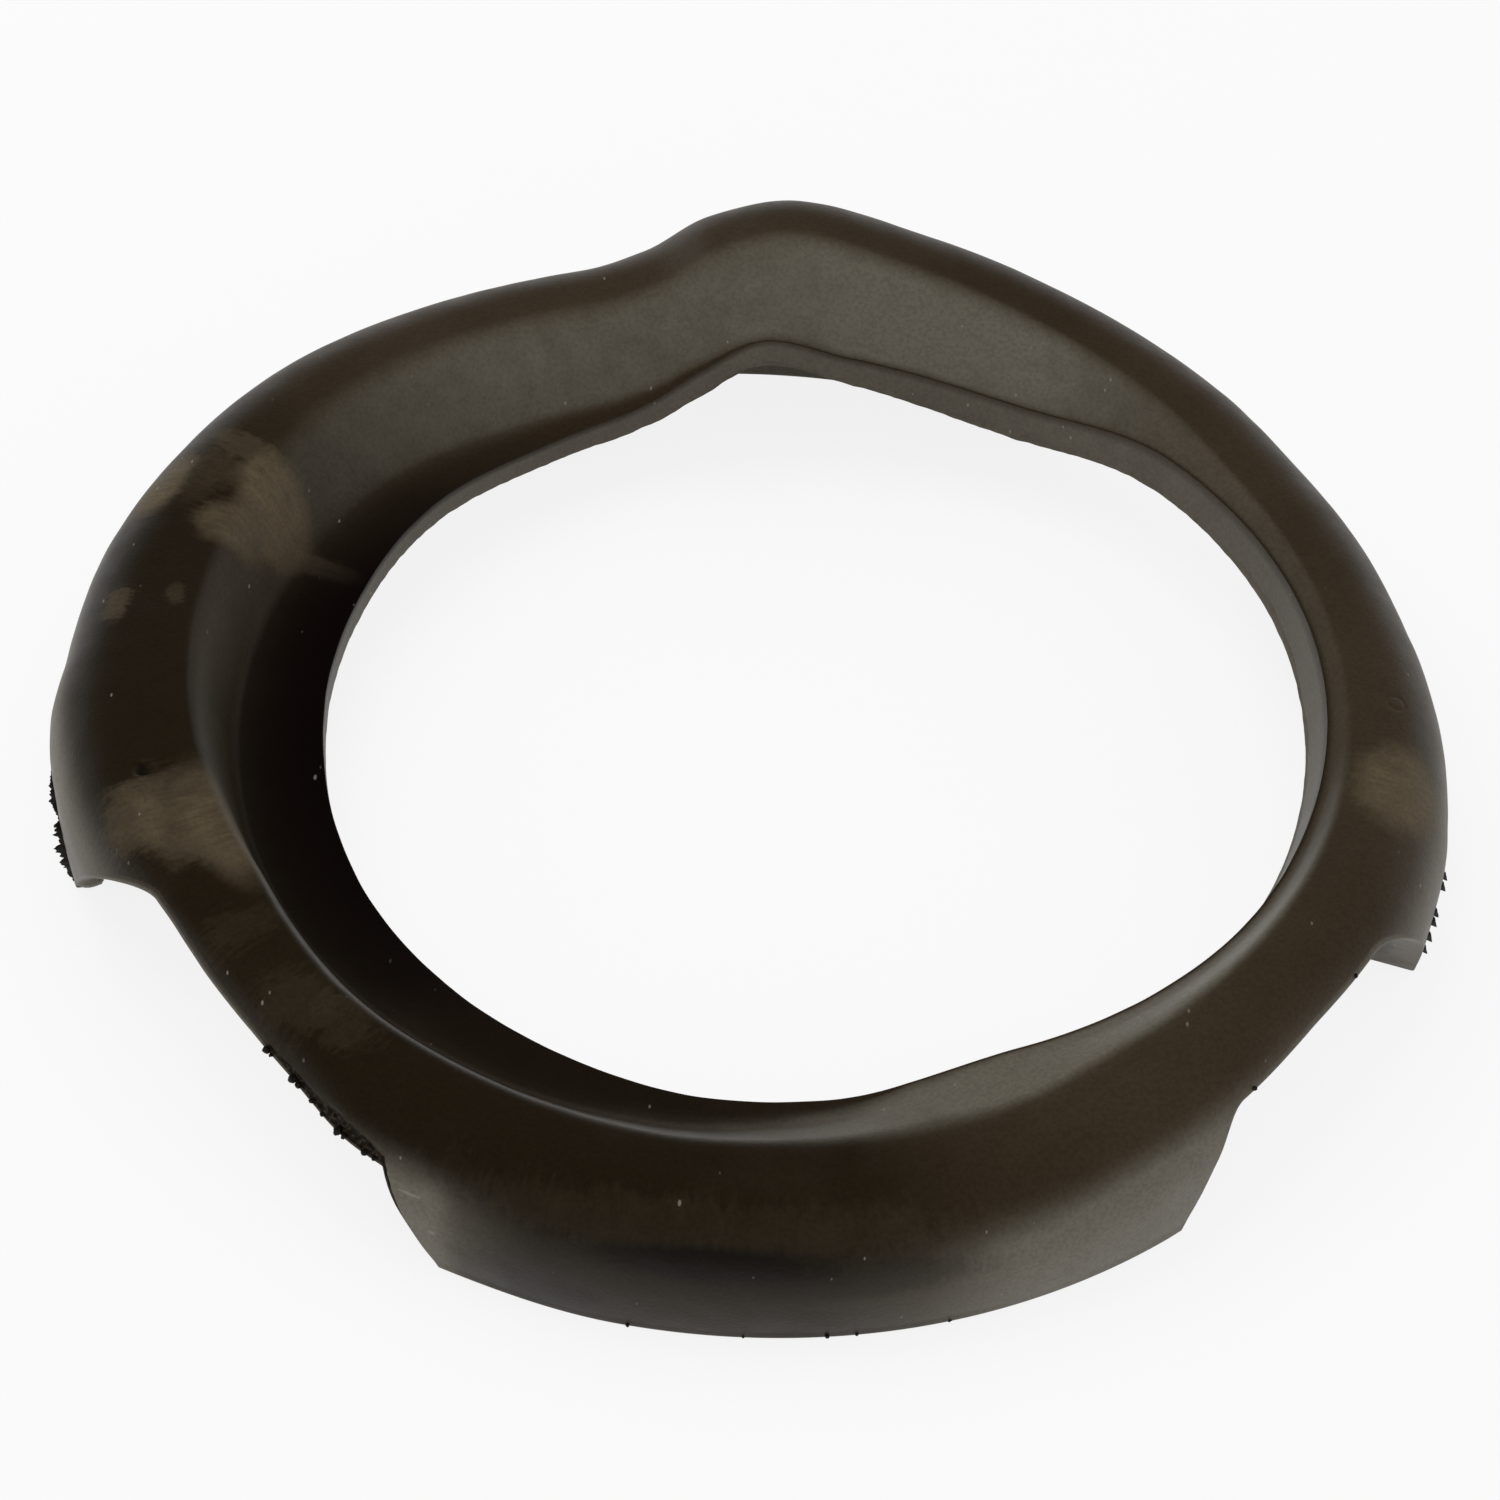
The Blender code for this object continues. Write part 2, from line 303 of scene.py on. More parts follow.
def section(angle):
    """The closed outline of the ring at an angle, as radius and height."""
    crown = around(CROWN_HEIGHT, angle) * MM
    rim = around(RIM_HEIGHT, angle) * MM
    hole = hole_edge(angle, HOLE_RADIUS)
    foot = max(FOOT_RADIUS, hole + RIM_LAND)
    rim_round = min(RIM_ROUND, 0.45 * (foot - hole))
    edge_round = around(EDGE_ROUND, angle) * MM

    top, corner = skin_line(angle, SEAT_STEPS, SLOPE_STEPS, OUTSIDE_STEPS, rim_round, edge_round)
    coarse, _ = skin_line(angle, 2, UNDER_SLOPE_STEPS, UNDER_OUTSIDE_STEPS, 0, 0, crisp=False)
    coarse = np.array(coarse)
    along = np.gradient(coarse, axis=0)
    along /= np.linalg.norm(along, axis=1)[:, None]
    heel = around(LOBE_HEEL, angle) * MM * (coarse[:, 0] > CROWN_RADIUS)
    heel = heel * np.clip((HEEL_TOP - coarse[:, 1]) / HEEL_TOP, 0, 1) ** 0.5
    under = coarse + np.stack([along[:, 1], -along[:, 0]], 1) * (SKIN + heel)[:, None]
    inner_corner = tuple(under[-1])
    if corner[1] == 0:
        inner_corner = (corner[0] - SKIN - heel[-1], 0.0)
    under = [tuple(point) for point in under[1:-1]]

    turn = math.radians(angle)
    along_rim = Vector((math.cos(turn), math.sin(turn), 0)) * JAG_TURNS
    jag = noise.noise(along_rim) + 0.8 * max(noise.noise(along_rim * 2.3) - 0.25, 0)
    depth = SKIN + around(RIM_EXTRA_DEPTH, angle) * MM + RIM_JAG * jag
    lean = math.tan(math.radians(around(RIM_LEAN, angle)))
    rim_bottom = (hole_edge(angle, HOLE_RADIUS - depth * lean), rim - depth)

    outline = rounded(rim_bottom, (hole, rim), top[0], rim_round)[:-1] + top
    outline += rounded(top[-1], corner, inner_corner, edge_round)[1:]
    outline += rounded(corner, inner_corner, under[-1], CORNER_ROUND)
    outline += under[::-1]
    outline += rounded(under[0], rim_bottom, (hole, rim), RIM_FOOT_ROUND)
    last = outline[-1]
    for step in range(1, RIM_FACE_STEPS):
        share = step / RIM_FACE_STEPS
        outline.append((last[0] + (outline[0][0] - last[0]) * share,
                        last[1] + (outline[0][1] - last[1]) * share))
    return outline


SKIN_POINTS = CORNER_STEPS + SEAT_STEPS + SLOPE_STEPS + 3 + OUTSIDE_STEPS + 1
SECTION_POINTS = len(section(0))
print(SECTION_POINTS, "points in a section,", SKIN_POINTS, "of them on the outer skin")

# %% [markdown]
# ## The ring's mesh
# Sections are set round the axis and joined to their neighbours, which is called a loft. They stand
# closer together where an arch's end rises. Four numbers are kept at each point for the finish: how
# much grey bloom and painted light the rubber has there, how warm its black is, how much painted
# shade deepens it, and whether it is torn.

# %% Tables for the finish
RING_STEP = 0.62             # degrees between sections, and at the arches' ends
END_STEP = 0.4
POINT_NUMBERS = ("bloom_and_painted_light", "warmth", "shade", "torn")
# Each table goes round the ring, as an angle and an amount, where 1 is strong
# Grey bloom on the slope, partly a painted reflection of the bright low room
SLOPE_BLOOM_AND_REFLECTION = (
    (0, 0.12), (25, 0.28), (45, 0.45), (60, 1.0), (75, 1.15), (92, 0.85), (100, 0.78), (118, 0.8),
    (135, 0.5), (148, 0.25), (160, 0.12), (180, 0.13), (205, 0.06), (240, 0.06), (270, 0.3),
    (288, 1.0), (300, 1.55), (325, 1.1), (345, 0.15),
)
# Grey bloom on the wall, mostly painted light where the steep wall faces the bright low room
WALL_BLOOM_AND_PAINTED_LIGHT = (
    (0, 0.6), (20, 0.25), (60, 0.15), (150, 0.25), (168, 0.85), (180, 1.15), (190, 1.2), (200, 0.8),
    (215, 0.2), (232, 0.1), (239, 1.2), (246, 1.2), (250, 0.3), (256, 0.0), (275, 0.0), (284, 0.2),
    (292, 1.0), (302, 1.5), (310, 1.3), (325, 0.5), (345, 0.85),
)
# A painted highlight along the arch edges
PAINTED_EDGE_HIGHLIGHT = (
    (0, 0.0), (196, 0.25), (204, 0.2), (226, 0.2), (230, 0.0), (300, 0.0), (306, 0.5), (345, 0.6),
    (350, 0.0),
)
WARM_CROWN = (
    (0, 0.9), (40, 0.85), (60, 0.7), (90, 0.75), (112, 0.95), (135, 0.7), (150, 0.4), (165, 0.0),
    (250, 0.0), (275, 0.1), (292, 0.7), (305, 1.0), (335, 0.85),
)
# Painted shade on the deep seat, by angle
SHADE_ON_SEAT = (
    (0, 0.3), (60, 0.1), (100, 0.2), (130, 0.45), (150, 0.7), (165, 0.85), (205, 0.8), (225, 0.7),
    (240, 0.25), (280, 0.1), (310, 0.1),
)
# How far the torn face reaches from the edge of the left front arch, in millimetres
TORN_WIDTH = (
    (0, 0.0), (228.5, 0.0), (229.5, 0.3), (232.5, 0.7), (235.5, 1.0), (238.5, 1.6), (240.5, 1.5),
    (242.5, 0.9), (244.2, 0.3), (245, 0.0),
)
RIM_BLOOM = 0.6              # bloom on the hole's rim
PAINTED_LIGHT_ON_END = 1.0              # painted light on the skirt's lower edge, the arches' cut face
PAINTED_LIGHT_INSIDE = 0.7           # and painted light on the hollow underside, as bounce from the white floor
WARM_SLOPE = 0.45            # the slope is never colder than this
INNER_WARMTH = 0.3           # warmth of the rim and the underside
WALL_STARTS = (2 * MM, 7 * MM)       # the wall's bloom and painted light grow between these depths below the crown
EDGE_FADES = (0.6 * MM, 0.2 * MM)    # the painted highlight along the edge, from this far off to this near
LEAST_TORN = 0.1 * MM        # a narrower torn face is left out


def ring_angles():
    stops = {0.0, 360.0}
    for arch in ARCHES:
        stops.update(arch["floor"])
        stops.update(arch["top"])
    stops = sorted(stops)
    ends = [sorted(pair) for arch in ARCHES for pair in zip(arch["floor"], arch["top"])]
    angles = []
    for start, end in zip(stops, stops[1:]):
        step = END_STEP if [start, end] in ends else RING_STEP
        parts = math.ceil((end - start) / step)
        angles.extend(start + (end - start) * part / parts for part in range(parts))
    return angles


def finish_numbers(angle, index, outline):
    """Bloom and painted light, warmth, painted shade and torn at a point of the section."""
    slope_start = CORNER_STEPS + SEAT_STEPS
    crown_start = slope_start + SLOPE_STEPS
    if index >= SKIN_POINTS:
        on_rim = index > SECTION_POINTS - 2 * CORNER_STEPS
        on_end = index < SKIN_POINTS + 2 * CORNER_STEPS
        # The rim has bloom; the skirt's lower edge and the underside get painted light
        bloom_and_painted_light = RIM_BLOOM if on_rim else PAINTED_LIGHT_ON_END if on_end else PAINTED_LIGHT_INSIDE
        return bloom_and_painted_light, INNER_WARMTH, 0.0, 0.0
    below_crown = around(CROWN_HEIGHT, angle) * MM - outline[index][1]
    on_slope = (smooth(index, slope_start - 2, slope_start + 3)
                * smooth(index, crown_start + 1, crown_start - 7))
    on_wall = smooth(below_crown, *WALL_STARTS) * (index > crown_start)
    on_seat = smooth(index, slope_start + 6, slope_start - 2)
    towards_hole = min(max((slope_start - index) / SEAT_STEPS, 0.0), 1.0)
    edge = outline[SKIN_POINTS - 1]
    from_edge = math.hypot(outline[index][0] - edge[0], outline[index][1] - edge[1])
    on_edge = smooth(from_edge, *EDGE_FADES) * (index > crown_start)
    torn_width = around(TORN_WIDTH, angle) * MM
    torn = 0.0
    if index >= crown_start and torn_width > LEAST_TORN:
        torn = smooth(from_edge, torn_width * 1.25, torn_width * 0.9)
    # Bloom on the slope is partly a painted reflection, on the wall mostly painted light, and on
    # the edge a painted highlight
    bloom_and_painted_light = max(around(SLOPE_BLOOM_AND_REFLECTION, angle) * on_slope, around(WALL_BLOOM_AND_PAINTED_LIGHT, angle) * on_wall,
                around(PAINTED_EDGE_HIGHLIGHT, angle) * on_edge)
    warmth = max(around(WARM_CROWN, angle), WARM_SLOPE * on_slope)
    # Painted shade on the seat, deepest towards the hole
    shade = min(around(SHADE_ON_SEAT, angle) * (0.75 + 0.5 * towards_hole), 1.0) * on_seat
    return bloom_and_painted_light, warmth, shade, torn


def make_ring(name):
    angles = ring_angles()
    points, numbers = [], []
    for angle in angles:
        turn = math.radians(angle)
        outline = section(angle)
        for index, (radius, height) in enumerate(outline):
            points.append((radius * math.cos(turn), radius * math.sin(turn), height))
            numbers.append(finish_numbers(angle, index, outline))
    faces = []
    count = len(angles)
    for ring in range(count):
        here, there = ring * SECTION_POINTS, (ring + 1) % count * SECTION_POINTS
        for place in range(SECTION_POINTS):
            beside = (place + 1) % SECTION_POINTS
            faces.append((here + place, there + place, there + beside, here + beside))
    mesh = bpy.data.meshes.new(name)
    mesh.from_pydata(points, [], faces)
    for column, key in enumerate(POINT_NUMBERS):
        layer = mesh.attributes.new(key, "FLOAT", "POINT")
        layer.data.foreach_set("value", np.array(numbers, np.float32)[:, column])
    ring = bpy.data.objects.new(name, mesh)
    bpy.context.scene.collection.objects.link(ring)
    return ring


ring = make_ring("rubber_ring")
print("ring:", len(ring.data.vertices), "points,", len(ring.data.polygons), "faces")

# %% [markdown]
# ## Small marks of the mould
# Close to, the ring has a dimple where the rubber was injected, a faint round mark of an ejector
# pin, and a soft knob with a pit at the end of the left lobe. They are smaller than a face, so the
# faces near them are cut finer first, and then the points are pushed in or out.

# %% Press in the marks
DIMPLE = dict(centre=(-70.3, -23.5, 23.1), radius=0.85, depth=0.9)
PIN_MARK = dict(centre=(78.1, 0.3, 19.6), radius=1.15, depth=0.07)
KNOB = dict(centre=(-78.2, -22.6, 2.2), radius=1.5, depth=-0.7)
PIT = dict(centre=(-77.6, -23.4, 4.6), radius=0.55, depth=0.6)
# Where the torn face needs finer faces, and how far round each place
TORN_PLACES = (
    (-50.5, -62.7, 16.6), (-47.8, -65.3, 16.0), (-45.0, -67.8, 15.4), (-42.0, -70.2, 14.7),
    (-39.2, -72.6, 13.4),
)
TORN_REACH = 3.4
MARK_MARGIN = 1.0            # a mark is cut finer this much further out than its radius
WAVE_DEPTH = 0.09 * MM       # old rubber is never quite even
WAVE_TOP, WAVE_SINK = 0.3, 1.2       # the waves only sink in, so the ring stays in its box
TORN_ROUGHNESS = 0.30 * MM


def cut_finer(mesh, centre, reach, cuts):
    """Cut the edges near a place into smaller ones."""
    centre = Vector(centre) * MM
    near = [edge for edge in mesh.edges
            if all((vert.co - centre).length < reach * MM for vert in edge.verts)]
    bmesh.ops.subdivide_edges(mesh, edges=near, cuts=cuts, use_grid_fill=True)


def press(mesh, centre, radius, depth, ringed=False):
    """Push the points near a place along their normals, by a soft round dent or a round groove."""
    centre = Vector(centre) * MM
    for vert in mesh.verts:
        away = (vert.co - centre).length / (radius * MM)
        if ringed:
            amount = math.exp(-((away - 1) / 0.22) ** 2)
        else:
            amount = math.exp(-away ** 4)
        if amount > 0.01:
            vert.co -= vert.normal * depth * MM * amount


def mark_ring(ring):
    mesh = bmesh.new()
    mesh.from_mesh(ring.data)
    bmesh.ops.recalc_face_normals(mesh, faces=mesh.faces)
    for mark in (DIMPLE, PIN_MARK, KNOB, PIT):
        cut_finer(mesh, mark["centre"], mark["radius"] + MARK_MARGIN, 3)
    for centre in TORN_PLACES:
        cut_finer(mesh, centre, TORN_REACH, 1)
    mesh.normal_update()
    for vert in mesh.verts:
        wave = noise.noise(vert.co * 90) + 0.6 * noise.noise(vert.co * 260 + Vector((3, 1, 7)))
        if vert.co.z > 0.6 * MM:
            vert.co += vert.normal * (min(wave, WAVE_TOP) - WAVE_SINK) * WAVE_DEPTH
    torn = mesh.verts.layers.float["torn"]
    for vert in mesh.verts:
        if vert[torn] > 0.02:
            rough = noise.noise(vert.co * 1400) + 0.8 * noise.noise(vert.co * 3100)
            vert.co += vert.normal * (rough - 0.55) * TORN_ROUGHNESS * vert[torn]
    mesh.normal_update()
    press(mesh, **DIMPLE)
    press(mesh, **PIN_MARK, ringed=True)
    press(mesh, **KNOB)
    press(mesh, **PIT)
    mesh.to_mesh(ring.data)
    mesh.free()


mark_ring(ring)
print("after the marks:", len(ring.data.polygons), "faces")

# %% [markdown]
# ## Shader maths in plain Python
# A finish is a graph of nodes. Written out node by node it is hard to read, so a small class wraps
# a socket: adding or multiplying two wrapped sockets adds the Math node that does it.


# %% Wrap a socket
class Wire:
    """A node's output socket. Arithmetic on it adds Math nodes."""

    def __init__(self, graph, socket):
        self.graph, self.socket = graph, socket

    def maths(self, operation, first, second):
        return self.graph.node("ShaderNodeMath", {"operation": operation}, {0: first, 1: second})

    def __add__(self, other):
        return self.maths("ADD", self, other)

    def __sub__(self, other):
        return self.maths("SUBTRACT", self, other)

    def __rsub__(self, other):
        return self.maths("SUBTRACT", other, self)

    def __mul__(self, other):
        return self.maths("MULTIPLY", self, other)

    def __pow__(self, other):
        return self.maths("POWER", self, other)

    __radd__ = __add__
    __rmul__ = __mul__

    def larger(self, other):
        return self.maths("MAXIMUM", self, other)

    def step(self, low, high):
        """0 at low, 1 at high and a soft step between."""
        return self.graph.node(
            "ShaderNodeMapRange", {"interpolation_type": "SMOOTHSTEP"},
            {"Value": self, "From Min": low, "From Max": high})


class Graph:
    """Adds nodes to a node tree."""

    def __init__(self, tree):
        self.tree = tree
        tree.nodes.clear()

    def node(self, kind, settings=None, inputs=None, output=0):
        """A node with its settings first and then its inputs, values or wires. Returns one output.

        With None for the output it returns nothing, as for the last node of a graph.
        """
        made = self.tree.nodes.new(kind)
        for key, value in (settings or {}).items():
            setattr(made, key, value)
        for key, value in (inputs or {}).items():
            if isinstance(value, Wire):
                self.tree.links.new(value.socket, made.inputs[key])
            else:
                made.inputs[key].default_value = value
        return None if output is None else Wire(self, made.outputs[output])

    def vector(self, operation, first, second):
        return self.node("ShaderNodeVectorMath", {"operation": operation}, {0: first, 1: second})

    def blend(self, amount, first, second):
        """Colour first where amount is 0 and second where it is 1."""
        return self.node(
            "ShaderNodeMix", {"data_type": "RGBA"}, {0: amount, 6: first, 7: second}, 2)

    def scaled(self, vector, amount):
        return self.node(
            "ShaderNodeVectorMath", {"operation": "SCALE"}, {0: vector, "Scale": amount})

    def clouds(self, place, size, detail=2.0, roughness=0.5):
        """Soft noise from 0 to 1, whose spots are about that size in millimetres."""
        return self.node("ShaderNodeTexNoise", None, {
            "Vector": place, "Scale": 1000 / size, "Detail": detail, "Roughness": roughness})


print("socket helpers ready")

# %% [markdown]
# ## The rubber
# Old moulded rubber is a dark brown black, matt to silky. Handling leaves pale scuffs with combed
# edges and the spring rubs the slope to a grey bloom. The same grey is also painted light: a
# painted reflection on the slope, painted light on the walls, the skirt's edge and the underside,
# and a painted highlight along the arch edges. Painted shade makes the seat deep black, deepest
# towards the hole, and darkens the dimple, the pit and the right lobe's hollow end; a painted dark
# reflection darkens a band on the front wall. Each scuff is a mask: the distance to a place, with
# noise added so that its edge is ragged.

# %% Describe the scuffs
# Each mark: angle, distance from the axis and height of its middle, then its reach along the ring,
# across it and up, in millimetres, its strength, and how ragged its edge is
SCUFFS = (
    ((159.5, 80.2, 21.7), (7.0, 3.6, 6.0), 1.0, 0.45),
    ((152.0, 73.6, 22.5), (2.6, 6.4, 6.0), 0.4, 1.00),
    ((154.6, 68.2, 19.0), (5.6, 5.6, 12.0), 1.0, 0.25),
    ((157.0, 65.0, 15.5), (5.4, 4.4, 12.0), 0.6, 0.30),
    ((162.6, 69.2, 20.0), (4.8, 5.0, 12.0), 0.70, 0.40),
    ((158.4, 66.8, 18.5), (5.4, 4.6, 12.0), 0.65, 0.25),
    ((157.0, 75.4, 23.0), (6.5, 4.0, 6.0), 0.22, 0.80),
    ((156.6, 59.0, 12.8), (2.4, 6.4, 6.0), 0.65, 0.70),
    ((176.7, 77.6, 22.8), (3.4, 1.9, 6.0), 0.5, 1.20),
    ((174.8, 70.8, 22.6), (2.6, 1.4, 6.0), 0.25, 1.20),
    ((207.0, 68.4, 19.0), (12.5, 4.8, 14.0), 0.85, 0.20),
    ((204.8, 73.0, 22.0), (8.8, 5.0, 8.0), 0.62, 0.45),
    ((203.8, 77.0, 22.0), (5.8, 4.2, 8.0), 0.60, 0.70),
    ((219.5, 73.0, 21.5), (3.2, 6.0, 8.0), 0.12, 1.30),
    ((228.6, 74.6, 20.0), (5.5, 4.6, 8.0), 0.12, 1.30),
    ((233.4, 73.2, 20.0), (5.5, 3.8, 8.0), 0.14, 1.30),
    ((268.0, 82.0, 15.0), (30.0, 4.5, 3.6), 0.11, 1.10),
    ((349.5, 78.5, 18.5), (8.0, 6.6, 8.0), 1.0, 0.30),
)
# Darker marks: a painted dark reflection and smudges on the front wall, and painted shade in
# the dimple, the pit, and the right lobe's hollow end
PAINTED_SHADE_AND_SMUDGES = (
    ((268.6, 84.0, 11.6), (14.0, 6.0, 2.3), 0.95, 0.40),
    ((279.5, 84.0, 9.8), (15.0, 6.0, 2.6), 0.45, 0.50),
    ((256.0, 84.0, 4.6), (10.0, 6.0, 5.0), 0.50, 0.50),
    ((198.4, 74.1, 22.6), (0.9, 0.8, 2.0), 0.65, 0.30),
    ((196.6, 80.7, 4.6), (0.9, 0.7, 0.8), 0.80, 0.20),
    ((340.6, 80.4, 5.0), (2.6, 2.0, 4.5), 0.65, 0.40),
)
# Pale curls of dust, two on the wall of the front lobe and one on the crown
CURLS = (
    ((245.4, 83.5, 11.6), (1.3, 3.0, 0.22), 0.5, 0.60),
    ((247.2, 84.0, 7.0), (0.5, 3.0, 0.40), 0.4, 0.30),
    ((214.0, 69.5, 17.0), (0.5, 0.3, 2.0), 0.5, 0.20),
)
RUBBER = (0.0165, 0.0092, 0.0012, 1.0)
RUBBER_WARM = (0.0580, 0.0400, 0.0200, 1.0)
DEEP_BLACK_AND_SHADE = (0.0042, 0.0007, 0.0003, 1.0)
BLOOM_AND_LIGHT_GREY = (0.1420, 0.1270, 0.0960, 1.0)
SCUFF_BROWN = (0.1260, 0.0930, 0.0500, 1.0)
TORN_AND_SHADE_DARK = (0.0080, 0.0045, 0.0015, 1.0)
DUST_PALE = (0.2500, 0.2300, 0.1950, 1.0)

# %% Make the rubber
FRONT = 270                  # the angle of the ring's front
PATCH_EDGE = (1.1, 0.5)      # a patch fades between these shares of its reach
RAGGEDNESS = 2.4             # how far noise moves the edge of the most ragged patch
SPECK_SPACING = 2.4          # millimetres between specks of dust
SPECK_EDGE = (0.075, 0.035)  # a speck fades between these shares of the spacing
RUBBER_BUMP = 0.12 * MM


def patches(graph, place, table, ragged):
    """All patches of a table together, from 0 to 1, on the ring laid out straight."""
    total = None
    for (angle, radius, height), reach, strength, rag in table:
        middle = math.radians(angle - FRONT) * CROWN_RADIUS, radius * MM, height * MM
        away = graph.vector("SUBTRACT", place, middle)
        scaled = graph.vector("DIVIDE", away, [value * MM for value in reach])
        distance = graph.node(
            "ShaderNodeVectorMath", {"operation": "LENGTH"}, {0: scaled}, "Value")
        spot = (distance + (ragged - 0.5) * rag * RAGGEDNESS).step(*PATCH_EDGE) * strength
        total = spot if total is None else total + spot * (1 - total)
    return total


def laid_straight(graph, place):
    """Places on the ring as if it were cut at the back and laid straight: along, across and up."""
    parts = graph.node("ShaderNodeSeparateXYZ", None, {0: place})
    x, y, z = (Wire(graph, parts.socket.node.outputs[axis]) for axis in "XYZ")
    along = x.maths("ARCTAN2", x, y * -1) * CROWN_RADIUS
    across = (x * x + y * y) ** 0.5
    return graph.node("ShaderNodeCombineXYZ", None, {0: along, 1: across, 2: z})


def kept(graph, name):
    """A number kept at the mesh's points."""
    return graph.node("ShaderNodeAttribute", {"attribute_name": name}, output="Fac")


def make_rubber():
    material = bpy.data.materials.new("worn_rubber_and_painted_light")
    material.use_nodes = True
    graph = Graph(material.node_tree)
    place = graph.node("ShaderNodeTexCoord", output="Object")
    bloom_and_painted_light, warmth, shade, torn = (kept(graph, name) for name in POINT_NUMBERS)

    broad = graph.clouds(place, 16, 3.0)
    mottle = graph.clouds(place, 4, 4.0, 0.65)
    grain = graph.clouds(place, 0.5, 2.0, 0.6)
    straight = laid_straight(graph, place)
    combed = graph.node("ShaderNodeMapping", None, {"Vector": straight, "Scale": (1.0, 0.14, 0.14)})
    streaks = graph.clouds(combed, 0.6, 2.0, 0.6)
    ragged = graph.clouds(place, 2.6, 4.0, 0.75) * 0.5 + streaks * 0.5

    colour = graph.blend(warmth * 0.85 + (broad - 0.5) * 0.6 - 0.04, RUBBER, RUBBER_WARM)
    # Grey bloom, with painted reflection, painted light and painted highlights mixed into the same
    # grey
    colour = graph.blend(bloom_and_painted_light * (0.55 + mottle * 0.8), colour, BLOOM_AND_LIGHT_GREY)
    scuff = patches(graph, straight, SCUFFS, ragged) * (mottle * 0.8 + streaks * 0.9 - 0.1)
    colour = graph.blend(scuff, colour, SCUFF_BROWN)
    colour = graph.blend(grain.step(0.35, 0.7) * 0.22, colour, DEEP_BLACK_AND_SHADE)
    # Painted shade on the seat
    colour = graph.blend(shade, colour, DEEP_BLACK_AND_SHADE)
    # Painted dark reflection and smudges on the front wall, painted shade in the dimple, pit and
    # hollow end
    shade_and_smudge = patches(graph, straight, PAINTED_SHADE_AND_SMUDGES, ragged)
    colour = graph.blend(shade_and_smudge, colour, TORN_AND_SHADE_DARK)
    torn_colour = graph.blend(grain.step(0.45, 0.75) * 0.35, TORN_AND_SHADE_DARK, SCUFF_BROWN)
    colour = graph.blend(torn, colour, torn_colour)
    colour = graph.blend(patches(graph, straight, CURLS, ragged), colour, DUST_PALE)

    fibres = graph.node("ShaderNodeMapping", None, {
        "Vector": place, "Rotation": (0.0, 0.0, math.radians(35)), "Scale": (1.0, 0.45, 0.7)})
    cells = graph.node("ShaderNodeTexVoronoi", None, {
        "Vector": fibres, "Scale": 1000 / SPECK_SPACING}, "Distance")
    specks = (cells - (mottle - 0.5) * 0.12).step(*SPECK_EDGE) * broad.step(0.42, 0.54)
    colour = graph.blend(specks * 0.65, colour, DUST_PALE)

    roughness = 0.47 + (mottle - 0.5) * 0.2 + scuff * 0.14 + torn * 0.25
    height = grain * (0.5 + torn * 2.0) + mottle * 0.5
    bump = graph.node("ShaderNodeBump", None, {
        "Height": height, "Strength": 0.5, "Distance": RUBBER_BUMP}, "Normal")
    shader = graph.node("ShaderNodeBsdfPrincipled", None, {
        "Base Color": colour, "Roughness": roughness, "IOR": 1.34, "Normal": bump})
    graph.node("ShaderNodeOutputMaterial", None, {"Surface": shader}, None)
    return material


rubber = make_rubber()
ring.data.materials.append(rubber)
print("rubber has", len(rubber.node_tree.nodes), "nodes")

# %% [markdown]
# ## Torn flash
# Where two halves of a mould meet, a thin fin of rubber squeezes out, called flash. On this ring it
# was torn off roughly, and black crumbs of it are left. It follows a line on the skirt, so a
# Geometry Nodes tree makes it: the line becomes a thin tube, one side of the tube is drawn
# outwards, and noise makes it crumble. The tree works for any line, with its sizes as named inputs.

# %% Helpers for geometry trees
FLASH_BLACK = (0.0040, 0.0032, 0.0026, 1.0)


def make_flash_finish():
    material = bpy.data.materials.new("torn_flash_black")
    material.use_nodes = True
    graph = Graph(material.node_tree)
    place = graph.node("ShaderNodeTexCoord", output="Object")
    grain = graph.clouds(place, 0.4, 3.0, 0.7)
    colour = graph.blend(grain.step(0.35, 0.75), FLASH_BLACK, RUBBER)
    bump = graph.node("ShaderNodeBump", None, {
        "Height": grain, "Strength": 0.6, "Distance": 0.15 * MM}, "Normal")
    shader = graph.node("ShaderNodeBsdfPrincipled", None, {
        "Base Color": colour, "Roughness": grain * 0.2 + 0.65, "Normal": bump})
    graph.node("ShaderNodeOutputMaterial", None, {"Surface": shader}, None)
    return material


flash_black = make_flash_finish()


def new_tree(name, inputs):
    """An empty geometry tree with a geometry input, float inputs and a geometry output."""
    tree = bpy.data.node_groups.new(name, "GeometryNodeTree")
    tree.interface.new_socket("Geometry", in_out="INPUT", socket_type="NodeSocketGeometry")
    for key, value in inputs.items():
        socket = tree.interface.new_socket(key, in_out="INPUT", socket_type="NodeSocketFloat")
        socket.default_value = value
    tree.interface.new_socket("Geometry", in_out="OUTPUT", socket_type="NodeSocketGeometry")
    graph = Graph(tree)
    sources = tree.nodes.new("NodeGroupInput")
    wires = {socket.name: Wire(graph, socket) for socket in sources.outputs if socket.name}
    return graph, wires


def end_tree(graph, geometry, material):
    """Make the instances real, give the material, and lead the result out."""
    real = graph.node("GeometryNodeRealizeInstances", None, {"Geometry": geometry})
    done = graph.node("GeometryNodeSetMaterial", None, {"Geometry": real, "Material": material})
    graph.node("NodeGroupOutput", None, {"Geometry": done}, None)


def named(graph, name, kind="FLOAT"):
    """A number or vector kept at the points."""
    return graph.node("GeometryNodeInputNamedAttribute", {"data_type": kind}, {"Name": name})


